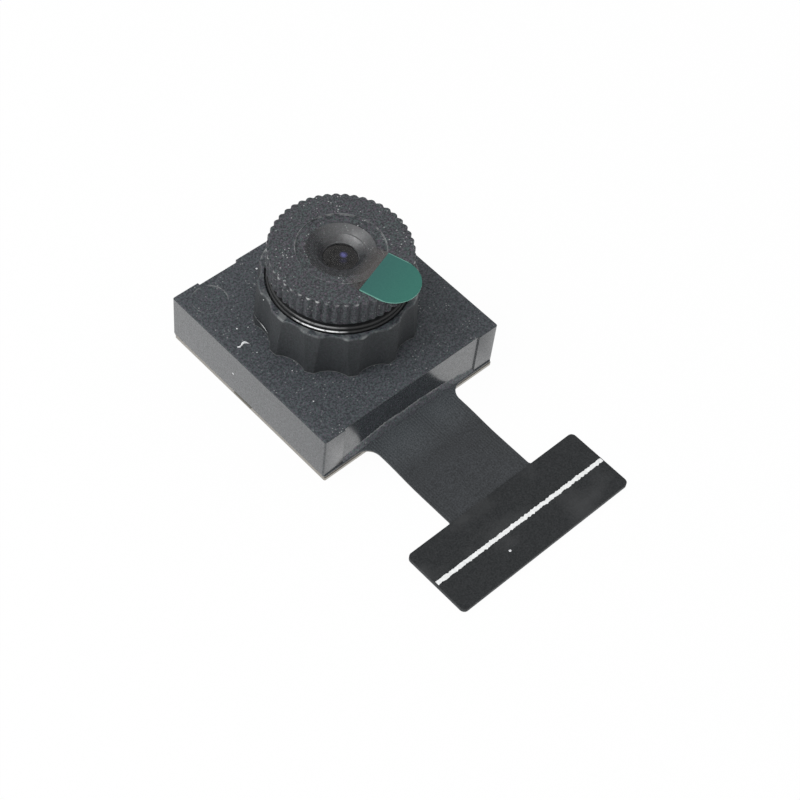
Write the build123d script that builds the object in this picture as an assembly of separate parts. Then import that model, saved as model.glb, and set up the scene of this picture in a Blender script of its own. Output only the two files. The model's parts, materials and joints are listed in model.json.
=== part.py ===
from build123d import *
import os
from math import cos, pi, sin

# Compact camera module with a screw-in lens and a short flat flexible circuit.
# Lengths are in millimetres. The optical axis is +Z, the rear plate's underside is z = 0,
# and the flexible circuit leaves the holder towards -Y.

# Rear plate and flexible circuit
BASE_WIDTH = 12.7
PLATE_THICKNESS = 0.20
PLATE_CORNER_RADIUS = 0.10
PLATE_FRONT_REACH = 0.10
SIDE_INSET = 0.06
FLEX_THICKNESS = 0.15
FLEX_SHELF = 0.05
FLEX_PAD_CORNER_RADIUS = 0.12
STRIP_WIDTH = 6.0
STRIP_ROOT_RADIUS = 0.85
TAIL_WIDTH = 12.5
TAIL_DEPTH = 4.33
TAIL_INNER_EDGE = 12.85
TAIL_CORNER_RADIUS = 0.30
TAIL_NOTCH_RADIUS = 0.22
STRIP_BEND_LENGTH = 3.2
STRIP_BEND_START = 0.9
BREAK_TAB_WIDTH = 1.4
BREAK_TAB_REACH = 0.07
BREAK_TAB_Y = 0.33

# Tail stiffener, contacts and white line
STIFFENER_THICKNESS = 0.12
CONTACT_COUNT = 24
CONTACT_PITCH = 0.50
CONTACT_WIDTH = 0.35
CONTACT_LENGTH = 3.5
CONTACT_THICKNESS = 0.03
CONTACT_EDGE_GAP = 0.15
LINE_WIDTH = 0.19
LINE_THICKNESS = 0.015
LINE_FROM_INNER_EDGE = 2.28
LINE_END_GAP = 0.06
LINE_SLANT = -0.5

# Lens holder, square part
GLUE_LINE = 0.05
GLUE_SETBACK = 0.06
BLOCK_HEIGHT = 3.0
BLOCK_CORNER_RADIUS = 0.11
BLOCK_EDGE_CHAMFER = 0.05
HOLDER_WALL = 1.15
CAVITY_CORNER_RADIUS = 0.6
ROOF_THICKNESS = 1.15
FRONT_RECESS_WIDTH = 9.9
FRONT_RECESS_DEPTH = 0.08
BACK_RECESS_INNER = 1.87
BACK_RECESS_OUTER = 4.58
BACK_RECESS_DEPTH = 0.16
PIN_MARK_RADIUS = 0.99
PIN_MARK_FROM_SIDE = 1.52
PIN_MARK_FROM_BACK = 1.37
PIN_MARK_DEPTH = 0.03

# Lens holder, turret
TURRET_RADIUS = 4.58
TURRET_DRAFT_ANGLE = 3.8
TURRET_HEIGHT = 2.92
TURRET_EDGE_CHAMFER = 0.06
FLUTE_COUNT = 12
FLUTE_DEPTH = 0.39
RIB_WIDTH = 0.50
BORE_RADIUS = 3.50
COUNTERBORE_RADIUS = 4.02
COUNTERBORE_DEPTH = 0.22
BORE_FLOOR = 0.42

# Infrared filter
FILTER_WIDTH = 6.2
FILTER_THICKNESS = 0.30
FILTER_CLEARANCE = 0.04
FILTER_GLUE_WIDTH = 0.40
FILTER_GLUE_THICKNESS = 0.12
WINDOW_RADIUS = 2.55

# Image sensor and capacitors
PAD_HEIGHT = 0.12
PAD_LENGTH = 0.70
PAD_WIDTH = 0.30
PAD_PITCH = 0.50
PADS_PER_SIDE = 12
PAD_FROM_EDGE = 0.15
SENSOR_LENGTH = 6.6
SENSOR_WIDTH = 5.8
SENSOR_THICKNESS = 0.42
COVER_GLASS_THICKNESS = 0.40
COVER_GLASS_INSET = 0.10
CAPACITOR_LENGTH = 1.0
CAPACITOR_WIDTH = 0.5
CAPACITOR_HEIGHT = 0.5
CAPACITOR_FROM_WALL = 0.35
CAPACITOR_SPACING = 1.7
CAPACITORS_PER_SIDE = 3

# Lens barrel
COLLAR_GAP = 0.08
COLLAR_RADIUS = 3.93
COLLAR_THICKNESS = 0.22
GROOVE_RADIUS = 3.74
GROOVE_HEIGHT = 0.06
FLANGE_RADIUS = 3.84
FLANGE_THICKNESS = 0.18
FLANGE_EDGE_CHAMFER = 0.06
NECK_RADIUS = 3.58
NECK_HEIGHT = 0.46
KNURL_RADIUS = 3.97
KNURL_HEIGHT = 1.52
KNURL_TEETH = 48
KNURL_DEPTH = 0.15
KNURL_TIP_SHARE = 0.18
KNURL_CHAMFER = 0.04
SHANK_CLEARANCE = 0.05
SHANK_LENGTH = 3.02
FACE_STEP_RADIUS = 2.45
FACE_STEP_DEPTH = 0.08
MOUTH_RADIUS = 1.88
MOUTH_LEDGE_RADIUS = 1.30
MOUTH_LEDGE_WIDTH = 0.07
MOUTH_LEDGE_DEPTH = 0.24
APERTURE_RADIUS = 0.96
APERTURE_DEPTH = 0.68
LIP_THICKNESS = 0.15

# Lens stack, from the front: radius and thickness at the rim of each element
LENS_CLEARANCE = 0.02
FRONT_LENS_RADIUS = 1.70
FRONT_LENS_EDGE = 0.70
FRONT_LENS_DOME = 0.13
FRONT_LENS_REAR_ZONE = 1.20
STOP_THICKNESS = 0.05
STOP_HOLE_RADIUS = 0.45
SECOND_LENS_RADIUS = 2.05
SECOND_LENS_EDGE = 0.60
FRONT_SPACER_THICKNESS = 0.25
FRONT_SPACER_HOLE = 1.35
THIRD_LENS_RADIUS = 2.40
THIRD_LENS_EDGE = 0.65
REAR_SPACER_THICKNESS = 0.30
REAR_SPACER_HOLE = 1.75
REAR_LENS_RADIUS = 2.75
REAR_LENS_EDGE = 0.75
RETAINER_THICKNESS = 0.50
RETAINER_HOLE = 2.10
LENS_SAG = 0.14
LENS_ZONE_MARGIN = 0.15

# Protective film and pull tab
FILM_THICKNESS = 0.05
FILM_WIDTH = 3.08
FILM_TILT = 17.5
FILM_END_X = 0.57
FILM_END_Y = -3.38
TAB_START = 1.12
FILM_LENGTH = 5.6

# Glue bead at the flexible circuit's root; the crest is given as shares of its height
BEAD_HEIGHT = 0.98
BEAD_FOOT = 0.12
BEAD_TOP = 0.05
BEAD_END_GAP = 0.03
BEAD_CREST_ROOM = 0.2
BEAD_CREST = (0.18, 0.63, 0.82, 1.0, 0.88, 0.94, 0.86, 0.76, 0.57, 0.20)

# Modelling values
CUT_MARGIN = 1.0
OVERLAP = 0.1
SAME_PLACE = 0.01
FILLET_SHARE = 0.9

# Levels worked out from the sizes above
HALF = BASE_WIDTH / 2
FLEX_TOP = PLATE_THICKNESS + FLEX_THICKNESS
HOLDER_FOOT = FLEX_TOP + GLUE_LINE
BLOCK_TOP = HOLDER_FOOT + BLOCK_HEIGHT
TURRET_TOP = BLOCK_TOP + TURRET_HEIGHT
ROOF_UNDERSIDE = BLOCK_TOP - ROOF_THICKNESS
FILTER_SEAT = ROOF_UNDERSIDE + FILTER_THICKNESS
BORE_BOTTOM = FILTER_SEAT + BORE_FLOOR
CAVITY_HALF = HALF - HOLDER_WALL
PAD_HALF = HALF - SIDE_INSET
FRONT_WALL = -HALF + FRONT_RECESS_DEPTH
TAIL_BOTTOM = CONTACT_THICKNESS
TAIL_TOP = TAIL_BOTTOM + FLEX_THICKNESS
TAIL_CENTRE = -TAIL_INNER_EDGE - TAIL_DEPTH / 2
FAR_END = -TAIL_INNER_EDGE - TAIL_DEPTH
STIFFENER_TOP = TAIL_TOP + STIFFENER_THICKNESS
PAD_TOP = FLEX_TOP + PAD_HEIGHT
SENSOR_TOP = PAD_TOP + SENSOR_THICKNESS
COUNTERBORE_FLOOR = TURRET_TOP - COUNTERBORE_DEPTH
COLLAR_BOTTOM = COUNTERBORE_FLOOR + COLLAR_GAP
COLLAR_TOP = COLLAR_BOTTOM + COLLAR_THICKNESS
FLANGE_BOTTOM = COLLAR_TOP + GROOVE_HEIGHT
FLANGE_TOP = FLANGE_BOTTOM + FLANGE_THICKNESS
KNURL_BOTTOM = FLANGE_TOP + NECK_HEIGHT
HEAD_TOP = KNURL_BOTTOM + KNURL_HEIGHT
BARREL_BOTTOM = COLLAR_BOTTOM - SHANK_LENGTH
SHANK_RADIUS = BORE_RADIUS - SHANK_CLEARANCE
LIP_BOTTOM = HEAD_TOP - APERTURE_DEPTH - LIP_THICKNESS
STOP_TOP = LIP_BOTTOM - FRONT_LENS_EDGE
SECOND_LENS_TOP = STOP_TOP - STOP_THICKNESS
FRONT_SPACER_TOP = SECOND_LENS_TOP - SECOND_LENS_EDGE
THIRD_LENS_TOP = FRONT_SPACER_TOP - FRONT_SPACER_THICKNESS
REAR_SPACER_TOP = THIRD_LENS_TOP - THIRD_LENS_EDGE
REAR_LENS_TOP = REAR_SPACER_TOP - REAR_SPACER_THICKNESS
RETAINER_TOP = REAR_LENS_TOP - REAR_LENS_EDGE


def block(length, width, bottom, top, x=0, y=0):
    """A box given by its plan centre and its two levels."""
    return Pos(x, y, (bottom + top) / 2) * Box(length, width, top - bottom)


def corner(radius, room):
    """A corner radius that stays inside the room beside it."""
    return min(radius, room * FILLET_SHARE)


def rounded_block(length, width, radius, bottom, top, y=0):
    """A box with rounded upright corners."""
    plan = RectangleRounded(length, width, corner(radius, min(length, width) / 2))
    return extrude(Pos(0, y, bottom) * plan, top - bottom)


def turned(points):
    """A solid of revolution about the optical axis from (radius, height) points."""
    outline = make_face(Polyline(*[(r, 0, z) for r, z in points], close=True))
    return revolve(outline, Axis.Z)


def ring(outer, inner, bottom, top):
    """A flat ring round the optical axis."""
    return turned([(inner, bottom), (outer, bottom), (outer, top), (inner, top)])


def flex_plan():
    """Plan of the flexible circuit: pad, strip and wide tail with rounded inner corners."""
    pad_front = -HALF - FLEX_SHELF
    tail_inner = -TAIL_INNER_EDGE
    strip_length = pad_front - tail_inner + 2 * OVERLAP
    pad = Pos(0, (HALF + pad_front) / 2) * Rectangle(2 * PAD_HALF, HALF - pad_front)
    strip = Pos(0, (pad_front + tail_inner) / 2) * Rectangle(STRIP_WIDTH, strip_length)
    tail = Pos(0, TAIL_CENTRE) * Rectangle(TAIL_WIDTH, TAIL_DEPTH)
    plan = pad + strip + tail

    def at(y):
        return plan.vertices().filter_by(lambda v: abs(v.Y - y) < SAME_PLACE)

    def inside(v):
        return abs(v.X) < STRIP_WIDTH / 2 + SAME_PLACE

    roots = at(pad_front).filter_by(inside)
    plan = fillet(roots, corner(STRIP_ROOT_RADIUS, PAD_HALF - STRIP_WIDTH / 2))
    notches = at(tail_inner).filter_by(inside)
    plan = fillet(notches, corner(TAIL_NOTCH_RADIUS, (TAIL_WIDTH - STRIP_WIDTH) / 2))
    tail_corners = at(FAR_END) + [v for v in at(tail_inner) if abs(v.X) > TAIL_WIDTH / 2 - SAME_PLACE]
    plan = fillet(tail_corners, corner(TAIL_CORNER_RADIUS, TAIL_DEPTH / 2))
    pad_corners = at(HALF) + [v for v in at(pad_front) if abs(v.X) > PAD_HALF - SAME_PLACE]
    return fillet(pad_corners, FLEX_PAD_CORNER_RADIUS)


def flex_side():
    """Side outline of the flexible circuit: flat pad, a soft double bend down, flat tail."""
    bend_start = -HALF - FLEX_SHELF - STRIP_BEND_START
    bend_end = bend_start - STRIP_BEND_LENGTH
    bend_middle = (bend_start + bend_end) / 2

    def long_line(lift):
        high = PLATE_THICKNESS + lift
        low = TAIL_BOTTOM + lift
        middle = (bend_middle, (high + low) / 2)
        pad = Line((HALF, high), (bend_start, high))
        fall = TangentArc((bend_start, high), middle, tangent=(-1, 0))
        rise = TangentArc((bend_end, low), middle, tangent=(1, 0))
        tail = Line((bend_end, low), (FAR_END, low))
        return [pad, fall, rise, tail]

    near = Line((HALF, PLATE_THICKNESS), (HALF, FLEX_TOP))
    far = Line((FAR_END, TAIL_BOTTOM), (FAR_END, TAIL_TOP))
    return make_face(long_line(0) + long_line(FLEX_THICKNESS) + [near, far])


def flex_circuit():
    """The flexible circuit, with the stub where it was snapped out of its panel."""
    sheet = extrude(flex_plan(), TAIL_TOP + FLEX_TOP)
    side = Plane.YZ * flex_side()
    profile = extrude(side, BASE_WIDTH, both=True)
    reach = 2 * BREAK_TAB_REACH
    stub = block(reach, BREAK_TAB_WIDTH, PLATE_THICKNESS, FLEX_TOP, -PAD_HALF, BREAK_TAB_Y)
    return (sheet & profile) + stub


def rear_plate():
    """Thin steel plate bonded under the pad, standing out a little at the strip's side."""
    front = -HALF - PLATE_FRONT_REACH
    depth = PAD_HALF - front
    middle = (PAD_HALF + front) / 2
    return rounded_block(2 * PAD_HALF, depth, PLATE_CORNER_RADIUS, 0, PLATE_THICKNESS, middle)


def tail_stiffener():
    """Stiff sheet bonded on top of the tail."""
    return rounded_block(
        TAIL_WIDTH, TAIL_DEPTH, TAIL_CORNER_RADIUS, TAIL_TOP, STIFFENER_TOP, TAIL_CENTRE
    )


def tail_marking_line():
    """White printed line across the tail."""
    length = TAIL_WIDTH - 2 * LINE_END_GAP
    place = Pos(0, -TAIL_INNER_EDGE - LINE_FROM_INNER_EDGE, STIFFENER_TOP + LINE_THICKNESS / 2)
    return place * Rot(0, 0, LINE_SLANT) * Box(length, LINE_WIDTH, LINE_THICKNESS)


def contact_fingers():
    """Gold-plated contacts in one row under the tail's free edge."""
    row = GridLocations(CONTACT_PITCH, 1, CONTACT_COUNT, 1)
    middle = Pos(0, FAR_END + CONTACT_EDGE_GAP + CONTACT_LENGTH / 2, CONTACT_THICKNESS / 2)
    contact = Box(CONTACT_WIDTH, CONTACT_LENGTH, CONTACT_THICKNESS)
    return [middle * place * contact for place in row]


def holder_adhesive():
    """Glue line under the holder's foot."""
    inset = GLUE_SETBACK + max(FRONT_RECESS_DEPTH, BACK_RECESS_DEPTH)
    outer = BASE_WIDTH - 2 * inset
    inner = 2 * CAVITY_HALF
    frame = rounded_block(outer, outer, BLOCK_CORNER_RADIUS, FLEX_TOP, HOLDER_FOOT)
    return frame - rounded_block(inner, inner, CAVITY_CORNER_RADIUS, FLEX_TOP, HOLDER_FOOT)


def turret():
    """Round turret with upright scalloped flutes; the narrow ribs between them lean inwards."""
    half_angle = pi / FLUTE_COUNT - RIB_WIDTH / 2 / TURRET_RADIUS
    half_chord = TURRET_RADIUS * sin(half_angle)
    depth = TURRET_RADIUS * cos(half_angle) - (TURRET_RADIUS - FLUTE_DEPTH)
    flute_radius = (half_chord**2 + depth**2) / (2 * depth)
    reach = TURRET_RADIUS - FLUTE_DEPTH + flute_radius
    base = Pos(0, 0, BLOCK_TOP)
    body = extrude(base * Circle(TURRET_RADIUS), TURRET_HEIGHT, taper=TURRET_DRAFT_ANGLE)
    for place in PolarLocations(reach, FLUTE_COUNT, start_angle=180 / FLUTE_COUNT):
        body = body - extrude(base * place * Circle(flute_radius), TURRET_HEIGHT + CUT_MARGIN)
    top_edges = body.faces().sort_by(Axis.Z)[-1].edges()
    return chamfer(top_edges, TURRET_EDGE_CHAMFER)


def lens_holder():
    """Square holder with its turret, bore, filter seat and sensor cavity, one moulding."""
    body = rounded_block(BASE_WIDTH, BASE_WIDTH, BLOCK_CORNER_RADIUS, HOLDER_FOOT, BLOCK_TOP)
    body = body - block(FRONT_RECESS_WIDTH, 2 * FRONT_RECESS_DEPTH, HOLDER_FOOT, BLOCK_TOP, 0, -HALF)
    recess_width = BACK_RECESS_OUTER - BACK_RECESS_INNER
    for side in (-1, 1):
        middle = side * (BACK_RECESS_INNER + BACK_RECESS_OUTER) / 2
        body = body - block(recess_width, 2 * BACK_RECESS_DEPTH, HOLDER_FOOT, BLOCK_TOP, middle, HALF)
    body = chamfer(body.faces().sort_by(Axis.Z)[-1].edges(), BLOCK_EDGE_CHAMFER)
    mark = Pos(PIN_MARK_FROM_SIDE - HALF, HALF - PIN_MARK_FROM_BACK, BLOCK_TOP)
    body = body - mark * Cylinder(PIN_MARK_RADIUS, 2 * PIN_MARK_DEPTH)
    body = body + turret()
    cavity = 2 * CAVITY_HALF
    cut_start = HOLDER_FOOT - CUT_MARGIN
    body = body - rounded_block(cavity, cavity, CAVITY_CORNER_RADIUS, cut_start, ROOF_UNDERSIDE)
    pocket = FILTER_WIDTH + 2 * FILTER_CLEARANCE
    body = body - block(pocket, pocket, cut_start, FILTER_SEAT)
    return body - holder_bore()


def holder_bore():
    """The lens bore, counterbored at its mouth, and the round window below it."""
    return turned(
        [
            (0, FILTER_SEAT - CUT_MARGIN),
            (WINDOW_RADIUS, FILTER_SEAT - CUT_MARGIN),
            (WINDOW_RADIUS, BORE_BOTTOM),
            (BORE_RADIUS, BORE_BOTTOM),
            (BORE_RADIUS, COUNTERBORE_FLOOR),
            (COUNTERBORE_RADIUS, COUNTERBORE_FLOOR),
            (COUNTERBORE_RADIUS, TURRET_TOP + CUT_MARGIN),
            (0, TURRET_TOP + CUT_MARGIN),
        ]
    )


def ir_cut_filter():
    """Square filter glass, seated under the window."""
    return block(FILTER_WIDTH, FILTER_WIDTH, ROOF_UNDERSIDE, FILTER_SEAT)


def filter_adhesive():
    """Glue frame that holds the filter in its pocket from below."""
    outer = FILTER_WIDTH + 2 * FILTER_CLEARANCE + FILTER_GLUE_WIDTH
    inner = FILTER_WIDTH - FILTER_GLUE_WIDTH
    bottom = ROOF_UNDERSIDE - FILTER_GLUE_THICKNESS
    opening = block(inner, inner, bottom - CUT_MARGIN, ROOF_UNDERSIDE + CUT_MARGIN)
    return block(outer, outer, bottom, ROOF_UNDERSIDE) - opening


def sensor_solder_pads():
    """Solder pads in a row along two sides, between the flexible circuit and the sensor."""
    row_distance = SENSOR_WIDTH - 2 * PAD_FROM_EDGE - PAD_LENGTH
    grid = GridLocations(PAD_PITCH, row_distance, PADS_PER_SIDE, 2)
    middle = Pos(0, 0, FLEX_TOP + PAD_HEIGHT / 2)
    return [middle * place * Box(PAD_WIDTH, PAD_LENGTH, PAD_HEIGHT) for place in grid]


def image_sensor():
    """Image sensor package on its solder pads."""
    return block(SENSOR_LENGTH, SENSOR_WIDTH, PAD_TOP, SENSOR_TOP)


def sensor_cover_glass():
    """Cover glass bonded on the sensor."""
    length = SENSOR_LENGTH - 2 * COVER_GLASS_INSET
    width = SENSOR_WIDTH - 2 * COVER_GLASS_INSET
    return block(length, width, SENSOR_TOP, SENSOR_TOP + COVER_GLASS_THICKNESS)


def chip_capacitors():
    """Ceramic capacitors in a row along two sides of the cavity."""
    row_distance = 2 * (CAVITY_HALF - CAPACITOR_FROM_WALL) - CAPACITOR_WIDTH
    grid = GridLocations(row_distance, CAPACITOR_SPACING, 2, CAPACITORS_PER_SIDE)
    middle = Pos(0, 0, FLEX_TOP + CAPACITOR_HEIGHT / 2)
    capacitor = Box(CAPACITOR_WIDTH, CAPACITOR_LENGTH, CAPACITOR_HEIGHT)
    return [middle * place * capacitor for place in grid]


def knurled_head():
    """The head's toothed band: flat tooth tips, V-shaped gaps, tips chamfered at both ends."""
    root = KNURL_RADIUS - KNURL_DEPTH
    step = 2 * pi / KNURL_TEETH
    tip = step * KNURL_TIP_SHARE / 2
    points = []
    for i in range(KNURL_TEETH):
        angle = i * step
        points.append((KNURL_RADIUS * cos(angle - tip), KNURL_RADIUS * sin(angle - tip)))
        points.append((KNURL_RADIUS * cos(angle + tip), KNURL_RADIUS * sin(angle + tip)))
        points.append((root * cos(angle + step / 2), root * sin(angle + step / 2)))
    base = Pos(0, 0, KNURL_BOTTOM)
    band = extrude(base * make_face(Polyline(*points, close=True)), KNURL_HEIGHT)
    across_tips = RegularPolygon(KNURL_RADIUS * cos(tip), KNURL_TEETH, major_radius=False)
    envelope = extrude(base * Rot(0, 0, 180 / KNURL_TEETH) * across_tips, KNURL_HEIGHT)
    ends = envelope.faces().sort_by(Axis.Z)
    envelope = chamfer(ends[0].edges() + ends[-1].edges(), KNURL_CHAMFER)
    return band & envelope


def barrel_below_head():
    """Shank, collar in the counterbore, fine groove, flange and neck, turned as one."""
    collar_chamfer = corner(FLANGE_EDGE_CHAMFER, COLLAR_THICKNESS / 2)
    flange_chamfer = corner(FLANGE_EDGE_CHAMFER, FLANGE_THICKNESS / 2)
    return turned(
        [
            (0, BARREL_BOTTOM),
            (SHANK_RADIUS, BARREL_BOTTOM),
            (SHANK_RADIUS, COLLAR_BOTTOM),
            (COLLAR_RADIUS, COLLAR_BOTTOM),
            (COLLAR_RADIUS, COLLAR_TOP - collar_chamfer),
            (COLLAR_RADIUS - collar_chamfer, COLLAR_TOP),
            (GROOVE_RADIUS, COLLAR_TOP),
            (GROOVE_RADIUS, FLANGE_BOTTOM),
            (FLANGE_RADIUS, FLANGE_BOTTOM),
            (FLANGE_RADIUS, FLANGE_TOP - flange_chamfer),
            (FLANGE_RADIUS - flange_chamfer, FLANGE_TOP),
            (NECK_RADIUS, FLANGE_TOP),
            (NECK_RADIUS, KNURL_BOTTOM + OVERLAP),
            (0, KNURL_BOTTOM + OVERLAP),
        ]
    )


def lens_barrel():
    """Lens barrel: knurled head on its turned lower part, with a stepped bore for the lenses."""
    return knurled_head() + barrel_below_head() - barrel_mouth() - barrel_bore()


def barrel_mouth():
    """Conical mouth in the head's face, with its ledge and the shallow step round it."""
    face = HEAD_TOP - FACE_STEP_DEPTH
    ledge = HEAD_TOP - MOUTH_LEDGE_DEPTH
    return turned(
        [
            (0, LIP_BOTTOM),
            (APERTURE_RADIUS, LIP_BOTTOM),
            (APERTURE_RADIUS, LIP_BOTTOM + LIP_THICKNESS),
            (MOUTH_LEDGE_RADIUS, ledge),
            (MOUTH_LEDGE_RADIUS + MOUTH_LEDGE_WIDTH, ledge),
            (MOUTH_RADIUS, face),
            (FACE_STEP_RADIUS, face),
            (FACE_STEP_RADIUS, HEAD_TOP + CUT_MARGIN),
            (0, HEAD_TOP + CUT_MARGIN),
        ]
    )


def barrel_bore():
    """Stepped bore: each step is the seat of one lens and what lies behind it."""
    front = FRONT_LENS_RADIUS + LENS_CLEARANCE
    second = SECOND_LENS_RADIUS + LENS_CLEARANCE
    third = THIRD_LENS_RADIUS + LENS_CLEARANCE
    rear = REAR_LENS_RADIUS + LENS_CLEARANCE
    return turned(
        [
            (0, BARREL_BOTTOM - CUT_MARGIN),
            (rear, BARREL_BOTTOM - CUT_MARGIN),
            (rear, REAR_LENS_TOP),
            (third, REAR_LENS_TOP),
            (third, THIRD_LENS_TOP),
            (second, THIRD_LENS_TOP),
            (second, SECOND_LENS_TOP),
            (front, SECOND_LENS_TOP),
            (front, LIP_BOTTOM),
            (0, LIP_BOTTOM),
        ]
    )


def lens(radius, top, edge, front_bow, rear_bow, front_zone, rear_zone):
    """A lens with flat rims and curved middles; a positive bow bulges outwards."""
    bottom = top - edge
    front = (0, 0, top + front_bow)
    rear = (0, 0, bottom - rear_bow)
    front_rim = (front_zone, 0, top)
    rear_rim = (rear_zone, 0, bottom)
    front_side = (-front_zone, 0, top)
    rear_side = (-rear_zone, 0, bottom)
    axis = Line(rear, front)
    front_dome = ThreePointArc(front_side, front, front_rim).trim(0.5, 1)
    rear_dome = ThreePointArc(rear_side, rear, rear_rim).trim(0.5, 1)
    rim = Polyline(front_rim, (radius, 0, top), (radius, 0, bottom), rear_rim)
    return revolve(make_face([axis, front_dome, rim, rear_dome]), Axis.Z)


def front_lens():
    """Front lens, its dome standing up into the aperture."""
    front_zone = APERTURE_RADIUS - LENS_CLEARANCE
    rear_bow = -LENS_SAG
    return lens(
        FRONT_LENS_RADIUS, LIP_BOTTOM, FRONT_LENS_EDGE,
        FRONT_LENS_DOME, rear_bow, front_zone, FRONT_LENS_REAR_ZONE,
    )


def aperture_stop():
    """Thin black disc that sets the lens opening."""
    return ring(FRONT_LENS_RADIUS, STOP_HOLE_RADIUS, SECOND_LENS_TOP, STOP_TOP)


def second_lens():
    """Second lens, hollow in front and bulging behind."""
    return lens(
        SECOND_LENS_RADIUS, SECOND_LENS_TOP, SECOND_LENS_EDGE, -LENS_SAG, LENS_SAG,
        FRONT_SPACER_HOLE - LENS_ZONE_MARGIN, FRONT_SPACER_HOLE - LENS_ZONE_MARGIN,
    )


def front_spacer():
    """Ring that sets the distance between the second and the third lens."""
    return ring(SECOND_LENS_RADIUS, FRONT_SPACER_HOLE, THIRD_LENS_TOP, FRONT_SPACER_TOP)


def third_lens():
    """Third lens, hollow in front and bulging behind."""
    return lens(
        THIRD_LENS_RADIUS, THIRD_LENS_TOP, THIRD_LENS_EDGE, -LENS_SAG, LENS_SAG,
        FRONT_SPACER_HOLE - LENS_ZONE_MARGIN, REAR_SPACER_HOLE - LENS_ZONE_MARGIN,
    )


def rear_spacer():
    """Ring that sets the distance between the third and the rear lens."""
    return ring(THIRD_LENS_RADIUS, REAR_SPACER_HOLE, REAR_LENS_TOP, REAR_SPACER_TOP)


def rear_lens():
    """Rear lens, hollow on both faces."""
    return lens(
        REAR_LENS_RADIUS, REAR_LENS_TOP, REAR_LENS_EDGE, -LENS_SAG, -LENS_SAG,
        REAR_SPACER_HOLE - LENS_ZONE_MARGIN, RETAINER_HOLE - LENS_ZONE_MARGIN,
    )


def lens_retainer():
    """Ring that closes the barrel behind the rear lens."""
    return ring(REAR_LENS_RADIUS, RETAINER_HOLE, RETAINER_TOP - RETAINER_THICKNESS, RETAINER_TOP)


def film_place():
    """Frame at the middle of the tab's round end, with +Y along the film towards the lens."""
    return Pos(FILM_END_X, FILM_END_Y, HEAD_TOP) * Rot(0, 0, FILM_TILT)


def protective_film():
    """Clear film over the mouth, with a round end."""
    half_width = FILM_WIDTH / 2
    run = FILM_LENGTH - half_width - TAB_START
    plan = Pos(0, TAB_START + run / 2) * Rectangle(FILM_WIDTH, run)
    plan = plan + Pos(0, TAB_START + run) * Circle(half_width)
    return film_place() * extrude(plan, FILM_THICKNESS)


def film_pull_tab():
    """Green tab, joined edge to edge with the clear film and standing out past the rim."""
    half_width = FILM_WIDTH / 2
    reach = TAB_START + half_width
    plan = Pos(0, TAB_START / 2) * Rectangle(FILM_WIDTH, TAB_START) + Circle(half_width)
    plan = plan & Pos(0, (TAB_START - half_width) / 2) * Rectangle(FILM_WIDTH, reach)
    return film_place() * extrude(plan, FILM_THICKNESS)


def root_glue():
    """Glue bead that seals the strip to the holder, with an uneven top edge."""
    length = FRONT_RECESS_WIDTH - 2 * BEAD_END_GAP
    start = -length / 2
    step = length / (len(BEAD_CREST) - 1)
    points = [(start + i * step, FLEX_TOP + share * BEAD_HEIGHT) for i, share in enumerate(BEAD_CREST)]
    foot = Polyline(points[0], (start, FLEX_TOP), (-start, FLEX_TOP), points[-1])
    front_view = Plane.XZ * make_face([Spline(*points), foot])
    slab = extrude(front_view, HALF + FLEX_SHELF)
    highest = FLEX_TOP + BEAD_HEIGHT + BEAD_CREST_ROOM
    section = Polyline(
        (FRONT_WALL, FLEX_TOP),
        (FRONT_WALL - BEAD_FOOT, FLEX_TOP),
        (FRONT_WALL - BEAD_TOP, highest),
        (FRONT_WALL, highest),
        close=True,
    )
    prism = extrude(Plane.YZ * make_face(section), BASE_WIDTH, both=True)
    return slab & prism


PIECES = {
    "rear_plate": rear_plate,
    "flex_circuit": flex_circuit,
    "tail_stiffener": tail_stiffener,
    "tail_marking_line": tail_marking_line,
    "contact_fingers": contact_fingers,
    "holder_adhesive": holder_adhesive,
    "lens_holder": lens_holder,
    "root_glue": root_glue,
    "image_sensor": image_sensor,
    "sensor_solder_pads": sensor_solder_pads,
    "sensor_cover_glass": sensor_cover_glass,
    "chip_capacitors": chip_capacitors,
    "ir_cut_filter": ir_cut_filter,
    "filter_adhesive": filter_adhesive,
    "lens_barrel": lens_barrel,
    "front_lens": front_lens,
    "aperture_stop": aperture_stop,
    "second_lens": second_lens,
    "front_spacer": front_spacer,
    "third_lens": third_lens,
    "rear_spacer": rear_spacer,
    "rear_lens": rear_lens,
    "lens_retainer": lens_retainer,
    "protective_film": protective_film,
    "film_pull_tab": film_pull_tab,
}

os.makedirs("parts", exist_ok=True)
for name, make in PIECES.items():
    shape = make()
    if isinstance(shape, list):
        shape = Compound(children=shape)
    export_step(shape, f"parts/{name}.step")
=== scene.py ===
import json
from math import cos, pi, radians, sin

import bmesh
import bpy
from mathutils import Matrix, Vector, noise

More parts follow.
